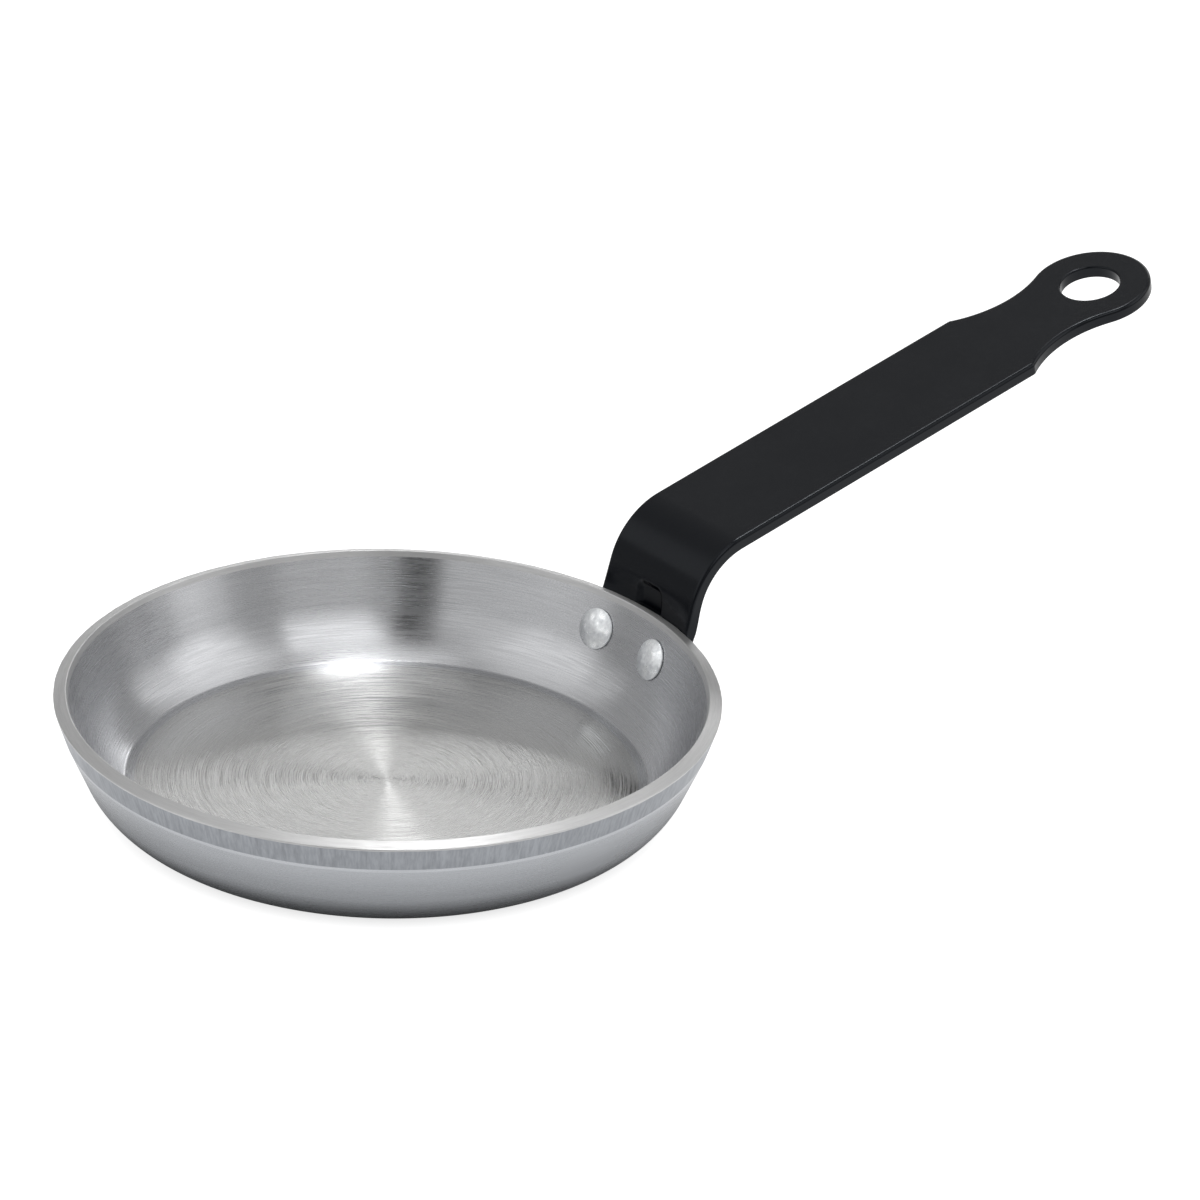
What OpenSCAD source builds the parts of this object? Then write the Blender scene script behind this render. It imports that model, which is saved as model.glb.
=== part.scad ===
// Omelette pan: a small round steel pan with a riveted, coated strip handle.
// Millimetres. Origin: centre of the underside of the base, where the pan stands.
// +X runs along the handle, +Z is up, +Y is the left side seen from the grip.

/* [Pan] */
// outer diameter at the rim
rim_diameter = 120; // [110:1:150]
// height of the inner edge of the rim above the table
pan_height = 20.6; // [19:0.1:29]
// thickness of the base
base_thickness = 2.8; // [2.2:0.1:3.2]
// thickness of the rim, along its cut face
rim_thickness = 2.5; // [2:0.1:3]
// lean of the straight upper part of the inner wall from upright, degrees
inner_lean = 21; // [19.5:0.5:22.5]
// lean of the turned band under the rim, degrees
band_lean = 18.8; // [16:0.2:20]
// width of the turned band, along its slope
band_width = 5.6; // [4:0.2:7]
// lean of the outer wall under the band, degrees
wall_lean = 24; // [22:0.5:26]
// radius of the outer corner between wall and base
corner_radius = 13.8; // [10:0.2:14.5]
// how far that corner's curve would run on below the flat base, which cuts it off
corner_sink = 1.2; // [0.6:0.1:1.8]
// radius of the curve between the inner wall and the floor
inner_curve = 18; // [16:0.5:20]
// how far the edge of the flat floor lies inside the inner wall's straight line
floor_inset = 3.6; // [3.2:0.1:4]

/* [Handle] */
// width of the strip
strip_width = 24.4; // [22:0.2:28]
// thickness of the strip
strip_thickness = 2.4; // [2:0.1:3]
// height of the start of the bend above the outer edge of the rim
bend_above_rim = 5.6; // [4.5:0.1:9]
// radius of the bend, on its outer side
bend_radius = 14.9; // [12:0.1:20]
// slope of the grip, degrees above level
grip_slope = 13.2; // [8:0.2:20]
// length of the grip, from the end of the bend to the centre of the hanging hole
grip_length = 97.3; // [85:0.1:140]
// width of the grip at its neck
neck_width = 17.6; // [16.8:0.2:20]
// radius of the two side cuts that make the neck
neck_cut_radius = 22.5; // [20:0.5:26]
// radius of the rounded end
end_radius = 11.5; // [11:0.1:12.5]
// diameter of the hanging hole
hole_diameter = 11.4; // [9:0.1:13]
// how far the flange reaches down from the outer edge of the rim
flange_drop = 13; // [12.5:0.1:14]
// radius of the two lower corners of the flange
flange_corner = 5; // [3:0.5:7]
// depth of the pressed recess in the flange
recess_depth = 0.9; // [0.5:0.1:1.2]
// width of the pressed recess
recess_width = 7.6; // [6:0.2:7.8]
// height of the recess's lower edge above the bottom of the flange
recess_rise = 4.6; // [4:0.1:6]
// radius of the recess's corners, seen from the front
recess_corner = 2.2; // [1.8:0.1:2.6]

/* [Rivets] */
// distance between the two rivets
rivet_spacing = 15.8; // [15.6:0.1:16]
// drop of the rivets below the outer edge of the rim, on the inner wall
rivet_drop = 5.8; // [5.4:0.1:6.2]
// diameter of the shank
shank_diameter = 4.8; // [4:0.1:5.2]
// diameter of the domed head inside the pan
head_diameter = 7.6; // [6.8:0.1:8]
// height of the domed head
head_height = 1.4; // [1.2:0.1:1.8]
// diameter of the closing head behind the flange
tail_diameter = 7; // [6.2:0.1:7.4]
// height of the closing head
tail_height = 1.3; // [1:0.1:1.6]

/* [Hidden] */
$fn = 144;
eps = 0.02;
// rim: its cut face stands square to the turned band
rim_r = rim_diameter / 2;
rim_in_r = rim_r - rim_thickness * cos(band_lean);
z_rim = pan_height - rim_thickness * sin(band_lean);
// lower edge of the turned band
r_crease = rim_r - band_width * sin(band_lean);
z_crease = z_rim - band_width * cos(band_lean);
// outer corner arc: tangent to the outer wall, and cut off by the underside
corner_z = corner_radius - corner_sink;
z_tan = corner_z - corner_radius * sin(wall_lean);
r_tan = r_crease - (z_crease - z_tan) * tan(wall_lean);
corner_r = r_tan - corner_radius * cos(wall_lean);
// inner curve: tangent to the inner wall, from the floor's edge; it reaches past the
// wall's line by a hair, so that the two surely meet
hair = 0.001;
r_line = rim_in_r - (pan_height - base_thickness) * tan(inner_lean);
r_floor = r_line - floor_inset;
curve_len = sqrt(pow(inner_curve, 2) - pow(inner_curve - floor_inset * cos(inner_lean), 2))
    - floor_inset * sin(inner_lean);
curve_top = base_thickness + curve_len * cos(inner_lean);
curve_r = r_line + curve_len * sin(inner_lean) - inner_curve * cos(inner_lean) + hair;
curve_z = curve_top + inner_curve * sin(inner_lean);
// flange: its side edges touch the outer edge of the rim, with fit_gap to spare
fit_gap = 0.1;
half_w = strip_width / 2;
// lean of the flat top of the flange, degrees
flange_lean = 16.6;
x_edge = sqrt(rim_r * rim_r - half_w * half_w);
z_bend = z_rim + bend_above_rim;
x_bend = x_edge + fit_gap + bend_above_rim * tan(flange_lean);
z_low = z_rim - flange_drop;
// bend centre and end
x_bc = x_bend + bend_radius * cos(flange_lean);
z_bc = z_bend - bend_radius * sin(flange_lean);
x_be = x_bc - bend_radius * sin(grip_slope);
z_be = z_bc + bend_radius * cos(grip_slope);
// the side cuts run smoothly into the rounded end: the neck is narrowest this far
// before the hanging hole, and each cut meets the end at this width
cut_y = neck_width / 2 + neck_cut_radius;
neck_gap = sqrt(pow(neck_cut_radius + end_radius, 2) - cut_y * cut_y);
neck_at = grip_length - neck_gap;
meet_half = end_radius * cut_y / (neck_cut_radius + end_radius);
// the plain strip runs this far below the bend; the shaped flange starts there
stub = 0.3;
z_stub = z_bend - stub * cos(flange_lean);
// depth to which the flange block reaches into the wall before it is cut to fit
seat = 0.3;
// lean at which the outline of the flange is cut, degrees
outline_lean = 20;
// the pan side of the flange comes down to the wall over this height below the rim
settle = 0.6;
// recess: its outline, and the width of its sloping walls
rec_top = z_stub - 0.05;
rec_low = z_low + recess_rise;
rec_hw = recess_width / 2;
rec_wall = 1.4;
// rivets: square to the inner wall
z_riv = z_rim - rivet_drop;
r_riv = rim_in_r - (pan_height - z_riv) * tan(inner_lean);
riv_turn = asin(rivet_spacing / 2 / r_riv);
// wall thickness along the rivet: outer wall line met from the inner wall
riv_wall = ((r_crease - (z_crease - z_riv) * tan(wall_lean)) - r_riv)
    / (cos(inner_lean) + sin(inner_lean) * tan(wall_lean));
// the closing head sits in a flat spot, this deep and this much wider all round
spot_sink = 0.25;
spot_room = 0.3;
riv_seat = riv_wall + strip_thickness - spot_sink;
// radius of the rounded face of the closing head
tail_r = 6;
// height of the upright edge of the domed head
dome_edge = 0.4;
dome_h = head_height - dome_edge;
dome_r = (pow(head_diameter / 2, 2) + dome_h * dome_h) / (2 * dome_h);
// cutting tools run on past the metal by this much
past = 3;

function smooth(t) = let (c = max(0, min(1, t))) c * c * (3 - 2 * c);

// falling order, each value once
function falling(v) = len(v) == 0 ? [] : let (p = v[0])
    concat(falling([for (x = v) if (x > p) x]), p, falling([for (x = v) if (x < p) x]));

// outer wall radius at a height
function wall_r(z) = z > z_crease ? rim_r - (z_rim - z) * tan(band_lean)
    : r_crease - (z_crease - z) * tan(wall_lean);

// 1 where the flange follows the round wall, 0 where it is flat across
function wrap(z) = 1 - smooth((z - z_rim) / (z_stub - z_rim));

// pan side of the flange: on the round wall below the rim, flat across at the bend
function face_x(y, z) = z > z_rim
    ? x_edge + fit_gap + (z - z_rim) * tan(flange_lean)
        + wrap(z) * (sqrt(rim_r * rim_r - y * y) - x_edge)
    : sqrt(pow(wall_r(z), 2) - y * y) + fit_gap * max(0, 1 - (z_rim - z) / settle);

// lean of the flange at a height
function lean(z) = z > z_rim ? flange_lean + (band_lean - flange_lean) * wrap(z)
    : band_lean + (wall_lean - band_lean) * smooth((z_crease + 1 - z) / 2);

// signed distance to the recess outline, below zero inside it
function rec_sd(y, z) = let (
    a = abs(y) - (rec_hw - recess_corner),
    b = abs(z - (rec_top + rec_low) / 2) - ((rec_top - rec_low) / 2 - recess_corner))
    norm([max(a, 0), max(b, 0)]) + min(max(a, b), 0) - recess_corner;
function press(y, z) = recess_depth * smooth(-rec_sd(y, z) / rec_wall);

// how far the flange block stands inside the plain strip where the two overlap
function dive(z) = z > z_stub + eps ? stub : z > z_stub - eps ? -eps : 0;

// a point of the flange: d = 0 on the pan side, strip_thickness on the back
function flange_p(y, z, d, sink) = let (
    a = lean(z), b = asin(y / wall_r(min(z, z_rim))) * wrap(z), t = press(y, z) + d - sink)
    [face_x(y, z) + t * cos(a) * cos(b), y + t * cos(a) * sin(b), z - t * sin(a)];

// grid of the flange: finer across the walls of the recess and near the crease
wall_steps = [0, 0.3, 0.5, 0.8, 1.1];
side_n = 6;
half_us = falling(concat([0, 1.2], [for (t = wall_steps) rec_hw - t * rec_wall],
    [for (k = [1:side_n]) rec_hw + k * (half_w + 0.9 - rec_hw) / side_n]));
us = concat([for (y = half_us) if (y > 0) -y], [for (i = [1:len(half_us)])
    half_us[len(half_us) - i]]);
zs = falling(concat([z_bend + stub, z_stub, z_rim + 1.2, z_rim, z_rim - settle, z_rim - 2,
    z_crease + 1, z_crease + 0.3, z_crease - 0.4, z_crease - 1.1, z_low + 3, z_low + 1.4,
    z_low - 1], [for (t = [0.25, 0.5, 0.8, 1.1, 1.7, 2.4]) rec_top - t * rec_wall],
    [for (t = wall_steps) rec_low + t * rec_wall]));
nu = len(us);
nz = len(zs);

module flange_block() {
    front = [for (z = zs) for (y = us)
        flange_p(y, z, 0, z < z_rim - settle / 2 ? seat : -dive(z))];
    back = [for (z = zs) for (y = us) flange_p(y, z, strip_thickness, dive(z))];
    n = nu * nz;
    polyhedron(points = concat(front, back), faces = concat(
        [for (i = [0:nz - 2]) for (j = [0:nu - 2]) let (a = i * nu + j) each
            [[a, a + nu, a + nu + 1], [a, a + nu + 1, a + 1]]],
        [for (i = [0:nz - 2]) for (j = [0:nu - 2]) let (a = n + i * nu + j) each
            [[a, a + nu + 1, a + nu], [a, a + 1, a + nu + 1]]],
        [for (j = [0:nu - 2]) each [[j, j + 1, n + j + 1], [j, n + j + 1, n + j]]],
        [for (j = [0:nu - 2]) let (a = (nz - 1) * nu + j) each
            [[a, n + a + 1, a + 1], [a, n + a, n + a + 1]]],
        [for (i = [0:nz - 2]) let (a = i * nu) each
            [[a, n + a, n + a + nu], [a, n + a + nu, a + nu]]],
        [for (i = [0:nz - 2]) let (a = i * nu + nu - 1) each
            [[a, n + a + nu, n + a], [a, a + nu, n + a + nu]]]),
        convexity = 6);
}

// half section of the pan as if full: its top runs on past the hollow's edge
module pan_outer_2d() {
    polygon([[0, 0], [corner_r, 0], [corner_r, corner_z], [r_tan, z_tan],
        [r_crease, z_crease], [rim_r, z_rim],
        [rim_in_r - cos(band_lean), pan_height + sin(band_lean)],
        [0, pan_height + sin(band_lean)]]);
    intersection() {
        translate([corner_r, corner_z]) circle(r = corner_radius);
        translate([corner_r - 1, 0]) square([corner_radius + 2, corner_z]);
    }
}

module pan_cavity_2d() {
    polygon([[-eps, base_thickness], [r_floor - 1, base_thickness], [r_floor - 1, curve_top],
        [r_line + curve_len * sin(inner_lean), curve_top],
        [rim_in_r + tan(inner_lean), pan_height + 1], [-eps, pan_height + 1]]);
    intersection() {
        translate([curve_r, curve_z]) circle(r = inner_curve);
        translate([r_floor - 2, base_thickness]) square([inner_curve, curve_len]);
    }
}

module pan_block() {
    rotate_extrude() pan_outer_2d();
}

module pan_shell() {
    rotate_extrude() difference() {
        pan_outer_2d();
        pan_cavity_2d();
    }
}

// places its children on a rivet axis, with z = 0 on the inner wall and +z outward
module at_rivet(side) {
    rotate([0, 0, side * riv_turn]) translate([r_riv, 0, z_riv])
        rotate([0, 90 + inner_lean, 0]) children();
}

module pan_body() {
    color([0.78, 0.79, 0.8]) difference() {
        pan_shell();
        for (side = [-1, 1]) at_rivet(side)
            translate([0, 0, -past]) cylinder(h = riv_seat + 2 * past, d = shank_diameter);
    }
}

// point of the strip's side view, in X and Z: along the flange line from the bend
// start, or along the grip line from the bend end, sunk by d from the top face
function on_flange(s, d) = [x_bend + s * sin(flange_lean) + d * cos(flange_lean),
    z_bend + s * cos(flange_lean) - d * sin(flange_lean)];
function on_grip(s, d) = [x_be + s * cos(grip_slope) + d * sin(grip_slope),
    z_be + s * sin(grip_slope) - d * cos(grip_slope)];

// region under a face that lies d below the top face; ext and sink push its other
// sides out, so that one region cut from another leaves the strip
module under_2d(d, ext, sink) {
    far = grip_length + end_radius + past + ext;
    polygon([on_flange(-stub - ext, d), on_flange(0, d), on_grip(0, d), on_grip(far, d),
        on_grip(far, sink), on_flange(-stub - ext, sink)]);
    intersection() {
        translate([x_bc, z_bc]) circle(r = bend_radius - d, $fn = 360);
        polygon([on_flange(-stub / 2, -5), on_grip(-4, -8), on_grip(1, -5), on_grip(1, sink),
            on_flange(-stub / 2, sink)]);
    }
}

// what is cut from the strip to leave the grip's outline, seen square to the grip
module grip_cut_2d() {
    difference() {
        translate([neck_at, -strip_width]) square([grip_length, 2 * strip_width]);
        translate([neck_at - past, eps - meet_half])
            square([neck_gap + past, 2 * (meet_half - eps)]);
        translate([grip_length, 0]) circle(r = end_radius);
    }
    for (side = [-1, 1])
        translate([neck_at, side * cut_y]) circle(r = neck_cut_radius);
    translate([grip_length, 0]) circle(d = hole_diameter);
}

// outline of the flange, seen square to it: full width, rounded lower corners
module flange_2d(len) {
    translate([-past, -half_w]) square([len + past - flange_corner, strip_width]);
    translate([len - flange_corner - 1, -half_w + flange_corner])
        square([flange_corner + 1, strip_width - 2 * flange_corner]);
    for (side = [-1, 1])
        translate([len - flange_corner, side * (half_w - flange_corner)])
            circle(r = flange_corner);
}

module handle() {
    color([0.07, 0.07, 0.08]) union() {
        difference() {
            intersection() {
                flange_block();
                translate([x_bend, 0, z_bend]) rotate([0, 90 + outline_lean, 0])
                    linear_extrude(height = strip_width, center = true)
                        flange_2d((z_bend - z_low) / cos(outline_lean));
            }
            pan_block();
            for (side = [-1, 1]) at_rivet(side) {
                cylinder(h = riv_seat + past, d = shank_diameter);
                translate([0, 0, riv_seat])
                    cylinder(h = 2 * past, d = tail_diameter + 2 * spot_room);
            }
        }
        difference() {
            rotate([90, 0, 0]) linear_extrude(height = strip_width, center = true)
                difference() {
                    under_2d(0, 0, 8);
                    under_2d(strip_thickness, 3, 20);
                }
            translate([x_be, 0, z_be]) rotate([0, -grip_slope, 0])
                translate([0, 0, -strip_thickness - past])
                    linear_extrude(height = strip_thickness + 2 * past) grip_cut_2d();
        }
    }
}

module rivet(side) {
    color([0.86, 0.87, 0.88]) union() {
        difference() {
            at_rivet(side) intersection() {
                translate([0, 0, dome_r - head_height]) sphere(r = dome_r);
                translate([0, 0, -head_height - past])
                    cylinder(h = head_height + 2 * past, d = head_diameter);
            }
            round_the_hollow();
        }
        at_rivet(side) translate([0, 0, -dome_edge])
            cylinder(h = dome_edge + riv_seat + tail_height / 2, d = shank_diameter);
        at_rivet(side) translate([0, 0, riv_seat]) intersection() {
            cylinder(h = tail_height, d = tail_diameter);
            translate([0, 0, tail_height - tail_r]) sphere(r = tail_r);
        }
    }
}

// a ring with the shape of the hollow inside it: trims the rivet heads to the wall
module round_the_hollow() {
    rotate_extrude() difference() {
        translate([r_floor, 0]) square([rim_r, pan_height]);
        pan_cavity_2d();
    }
}

module rivet_left() { rivet(1); }

module rivet_right() { rivet(-1); }

pan_body();
handle();
rivet_left();
rivet_right();
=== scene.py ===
"""Omelette pan: the looks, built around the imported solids.

Lengths are written in millimetres and turned into metres when a mesh is made. The frame is
that of the solids: the origin is the centre of the underside, +X runs along the handle and
+Z is up. Each surface is a function of two parameters, worked out as whole arrays.
"""
import math

import bpy
import numpy as np
from mathutils import Matrix, Vector

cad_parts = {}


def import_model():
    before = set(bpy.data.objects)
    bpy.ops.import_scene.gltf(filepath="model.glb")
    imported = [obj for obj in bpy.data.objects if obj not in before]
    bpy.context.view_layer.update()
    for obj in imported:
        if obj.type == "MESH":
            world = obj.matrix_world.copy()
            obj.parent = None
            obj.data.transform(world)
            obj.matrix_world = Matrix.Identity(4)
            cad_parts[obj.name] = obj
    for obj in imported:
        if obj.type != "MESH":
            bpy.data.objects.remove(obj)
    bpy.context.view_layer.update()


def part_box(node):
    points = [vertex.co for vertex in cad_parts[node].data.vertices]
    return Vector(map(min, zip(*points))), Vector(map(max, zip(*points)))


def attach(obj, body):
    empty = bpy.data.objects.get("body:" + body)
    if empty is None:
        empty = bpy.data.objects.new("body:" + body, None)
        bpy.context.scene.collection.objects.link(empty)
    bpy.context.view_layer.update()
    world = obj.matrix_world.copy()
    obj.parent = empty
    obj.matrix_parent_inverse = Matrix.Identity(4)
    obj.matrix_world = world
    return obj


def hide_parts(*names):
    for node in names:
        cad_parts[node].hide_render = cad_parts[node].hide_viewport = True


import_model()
MM = 0.001

# The pan: its rim and height come from its solid's box, the rest is its section
PAN_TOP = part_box("pan_body")[1]
RIM_R = PAN_TOP.x / MM
PAN_HEIGHT = PAN_TOP.z / MM
# thickness of the base, and of the rim along its cut face
BASE_T = 2.8
RIM_T = 2.5
# lean from upright of the inner wall, of the turned band and of the wall under it
INNER_LEAN = math.radians(21.0)
BAND_LEAN = math.radians(18.8)
WALL_LEAN = math.radians(24.0)
# width of the turned band, along its slope
BAND_W = 5.6
# outer corner: its radius, and how far its curve would run on below the flat base
CORNER_R = 13.8
CORNER_SINK = 1.2
# inner curve: its radius, and how far the floor's edge lies inside the wall's line
INNER_CURVE = 18.0
FLOOR_INSET = 3.6
# radii of the rounded edges: outside and inside of the rim, the crease under the band,
# the foot, and the edge of the floor
EDGE_OUT = 0.28
EDGE_IN = 0.2
EDGE_CREASE = 1.2
EDGE_FOOT = 2.5
EDGE_FLOOR = 0.9

RIM_IN_R = RIM_R - RIM_T * math.cos(BAND_LEAN)
Z_RIM = PAN_HEIGHT - RIM_T * math.sin(BAND_LEAN)
R_CREASE = RIM_R - BAND_W * math.sin(BAND_LEAN)
Z_CREASE = Z_RIM - BAND_W * math.cos(BAND_LEAN)
CORNER_Z = CORNER_R - CORNER_SINK
Z_TAN = CORNER_Z - CORNER_R * math.sin(WALL_LEAN)
R_TAN = R_CREASE - (Z_CREASE - Z_TAN) * math.tan(WALL_LEAN)
CORNER_AT = R_TAN - CORNER_R * math.cos(WALL_LEAN)
FOOT_TURN = -math.asin(CORNER_Z / CORNER_R)
R_FOOT = CORNER_AT + CORNER_R * math.cos(FOOT_TURN)
R_LINE = RIM_IN_R - (PAN_HEIGHT - BASE_T) * math.tan(INNER_LEAN)
R_FLOOR = R_LINE - FLOOR_INSET
CURVE_DEPTH = INNER_CURVE - FLOOR_INSET * math.cos(INNER_LEAN)
CURVE_LEN = (math.sqrt(INNER_CURVE ** 2 - CURVE_DEPTH ** 2)
             - FLOOR_INSET * math.sin(INNER_LEAN))
CURVE_R = R_LINE + CURVE_LEN * math.sin(INNER_LEAN) - INNER_CURVE * math.cos(INNER_LEAN)
CURVE_Z = BASE_T + CURVE_LEN * math.cos(INNER_LEAN) + INNER_CURVE * math.sin(INNER_LEAN)
CURVE_END = math.asin((R_FLOOR - CURVE_R) / INNER_CURVE) - math.pi / 2

# The handle: a strip with a flange on the pan, a bend and a straight grip
STRIP_T = 2.4
HALF_W = 12.2
# radii of its rounded edges: round the upper face, round the lower face and in the hole
EDGE_STRIP = 0.7
EDGE_UNDER = 0.25
EDGE_HOLE = 0.35
# start of the bend above the rim, and radius of its outer side
BEND_ABOVE = 5.6
BEND_R = 14.9
GRIP_SLOPE = math.radians(13.2)
# lean of the flat top of the flange, and lean at which its outline is cut
FLANGE_LEAN = math.radians(16.6)
OUTLINE_LEAN = math.radians(20.0)
# length from the end of the bend to the centre of the hole
GRIP_LEN = 97.3
NECK_HALF = 8.8
NECK_CUT_R = 22.5
SHOULDER_R = 1.0
END_R = 11.5
HOLE_R = 5.7
# how far the flange reaches down from the rim, and its rounded lower corners
FLANGE_DROP = 13.0
FLANGE_CORNER = 5.0
# the flange is flat across this far below the bend
FLAT_LEN = 0.3
# room between the flange and the wall at the rim, and down the wall, and the height
# over which the flange comes down to the wall
FIT_GAP = 0.1
LEAST_GAP = 0.01
SETTLE = 0.6
# height over which the flange's lean follows the crease
LEAN_BLEND = 2.0
# pressed recess: its depth, half its width, its start below the flat top, its end above
# the bottom, its corners and its sloping wall
RECESS_D = 0.9
RECESS_HALF = 3.8
RECESS_ROOM = 0.05
RECESS_RISE = 4.6
RECESS_CORNER = 2.2
RECESS_WALL = 1.4

X_EDGE = math.sqrt(RIM_R ** 2 - HALF_W ** 2)
Z_BEND = Z_RIM + BEND_ABOVE
X_BEND = X_EDGE + FIT_GAP + BEND_ABOVE * math.tan(FLANGE_LEAN)
Z_FLAT = Z_BEND - FLAT_LEN * math.cos(FLANGE_LEAN)
Z_LOW = Z_RIM - FLANGE_DROP
RECESS_TOP = Z_FLAT - RECESS_ROOM
RECESS_LOW = Z_LOW + RECESS_RISE
X_BC = X_BEND + BEND_R * math.cos(FLANGE_LEAN)
Z_BC = Z_BEND - BEND_R * math.sin(FLANGE_LEAN)
BEND_ANGLE = math.pi / 2 - FLANGE_LEAN - GRIP_SLOPE
BEND_LEN = BEND_R * BEND_ANGLE
# the side cuts run smoothly into the rounded end: the neck lies this far before the hole
CUT_Y = NECK_HALF + NECK_CUT_R
NECK_GAP = math.sqrt((NECK_CUT_R + END_R) ** 2 - CUT_Y ** 2)
S_LOW = -(Z_BEND - Z_LOW) / math.cos(OUTLINE_LEAN)
S_NECK = BEND_LEN + GRIP_LEN - NECK_GAP
S_HOLE = BEND_LEN + GRIP_LEN

# The rivets, square to the inner wall
RIVET_SPACING = 15.8
RIVET_DROP = 5.8
SHANK_R = 2.4
# domed head: its upright edge, the fold between dome and edge, and the undercut that
# keeps the edge a little off the wall
HEAD_R = 3.8
HEAD_H = 1.4
HEAD_EDGE = 0.4
HEAD_FOLD = 0.12
HEAD_LIFT = 0.18
HEAD_UNDERCUT = 0.35
# how deep the metal under the head reaches into the wall
HEAD_SEAT = 0.4
# closing head, with the radius of its face and its sink in the flange's flat spot
TAIL_R = 3.5
TAIL_H = 1.3
TAIL_DOME = 6.0
SPOT_SINK = 0.25
# hammer blows on a head: how many, how near the edge, how deep, and how far they blend
BLOWS = 26
BLOW_REACH = 0.96
BLOW_DEPTH = (0.015, 0.06)
BLOW_BLEND = 0.02
DOME_H = HEAD_H - HEAD_EDGE
DOME_R = (HEAD_R ** 2 + DOME_H ** 2) / (2 * DOME_H)
Z_RIVET = Z_RIM - RIVET_DROP
R_RIVET = RIM_IN_R - (PAN_HEIGHT - Z_RIVET) * math.tan(INNER_LEAN)
RIVET_TURN = math.asin(RIVET_SPACING / 2 / R_RIVET)
RIVET_WALL = ((R_CREASE - (Z_CREASE - Z_RIVET) * math.tan(WALL_LEAN)) - R_RIVET) / (
    math.cos(INNER_LEAN) + math.sin(INNER_LEAN) * math.tan(WALL_LEAN))
RIVET_SEAT = RIVET_WALL + STRIP_T - SPOT_SINK

# The camera: its direction from the place on the table that it aims at, in degrees, its
# roll, its distance in metres, its lens and picture width in mm, and how far the
# picture's centre lies off its axis, as shares of the picture's width
CAMERA_AZIMUTH = 230.468
CAMERA_ELEVATION = 26.044
CAMERA_ROLL = 1.761
CAMERA_DISTANCE = 1.5165
CAMERA_AIM = (0.08141, 0.04022, 0.0)
LENS = 240.0
SENSOR = 36.0
SHIFT = (0.00106, -0.0028)

# How far off the lamps stand, in metres, and the room's grey
LAMP_DISTANCE = 3.0
ROOM = 0.46

# Zones of the pan's surface, which are also its material slots
FLOOR, WALL, CUT, BAND, SIDE = range(5)


def smooth(t):
    """The curve 3t² − 2t³, held at 0 below 0 and at 1 above 1."""
    t = np.clip(t, 0.0, 1.0)
    return t * t * (3 - 2 * t)


def unit(v):
    """Vectors of length 1."""
    return v / np.maximum(np.linalg.norm(v, axis=-1, keepdims=True), 1e-12)


# Mesh making


def make_mesh(name, points, faces, normals, materials, zones=None, floats=None):
    """A mesh from points in mm, arrays of faces (quads or triangles) and point normals.

    zones gives each face its material; floats are named values on the points.
    """
    mesh = bpy.data.meshes.new(name)
    loops = np.concatenate([f.ravel() for f in faces]).astype(np.int32)
    sizes = np.concatenate([np.full(len(f), f.shape[1]) for f in faces]).astype(np.int32)
    starts = np.concatenate([[0], np.cumsum(sizes)[:-1]]).astype(np.int32)
    mesh.vertices.add(len(points))
    mesh.vertices.foreach_set("co", (points * MM).astype(np.float32).ravel())
    mesh.loops.add(len(loops))
    mesh.loops.foreach_set("vertex_index", loops)
    mesh.polygons.add(len(sizes))
    mesh.polygons.foreach_set("loop_start", starts)
    mesh.polygons.foreach_set("loop_total", sizes)
    mesh.polygons.foreach_set("use_smooth", np.ones(len(sizes), bool))
    if zones is not None:
        mesh.polygons.foreach_set("material_index", np.concatenate(zones).astype(np.int32))
    mesh.update(calc_edges=True)
    mesh.validate()
    mesh.normals_split_custom_set_from_vertices(unit(normals).tolist())
    for key, values in (floats or {}).items():
        layer = mesh.attributes.new(key, "FLOAT", "POINT")
        layer.data.foreach_set("value", values.astype(np.float32))
    for material in materials:
        mesh.materials.append(material)
    obj = bpy.data.objects.new(name, mesh)
    bpy.context.scene.collection.objects.link(obj)
    return obj


def grid_quads(rows, columns):
    """Quads of a grid of rows × columns points, numbered row by row."""
    a = (np.arange(rows - 1)[:, None] * columns + np.arange(columns - 1)).ravel()
    return np.stack([a, a + 1, a + columns + 1, a + columns], axis=1)


def ring_quads(loop_a, loop_b):
    """Quads between two closed loops with as many points each."""
    return np.stack([loop_a, np.roll(loop_a, -1), np.roll(loop_b, -1), loop_b], axis=1)


# Profiles of turned pieces: points (r, z) with their normals


def line(a, b, n):
    """n points from a to b, with b left out, and the normal on the right of the way."""
    a, b = np.array(a, float), np.array(b, float)
    t = np.linspace(0, 1, n, endpoint=False)[:, None]
    d = (b - a) / np.linalg.norm(b - a)
    return a + (b - a) * t, np.tile([d[1], -d[0]], (n, 1))


def arc(centre, radius, start, end, n, hollow=False):
    """n points on an arc from start to end, in radians; the normal points away from the
    centre, or towards it where the arc is hollow."""
    t = np.linspace(start, end, n)[:, None]
    out = np.concatenate([np.cos(t), np.sin(t)], axis=1)
    return np.array(centre) + radius * out, -out if hollow else out


def round_corner(p, corner, q, radius, n, hollow=False):
    """An arc that rounds the corner between the lines from p and to q.

    Its centre lies on the bisector, and it starts and ends where the circle touches the
    two lines.
    """
    p, corner, q = (np.array(v, float) for v in (p, corner, q))
    a, b = unit(p - corner), unit(q - corner)
    half = math.acos(float(np.clip(a @ b, -1, 1))) / 2
    centre = corner + unit(a + b) * radius / math.sin(half)
    start = corner + a * radius / math.tan(half) - centre
    end = corner + b * radius / math.tan(half) - centre
    t0 = math.atan2(start[1], start[0])
    t1 = math.atan2(end[1], end[0])
    turn = (t1 - t0 + math.pi) % (2 * math.pi) - math.pi
    return arc(centre, radius, t0, t0 + turn, n, hollow)


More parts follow.
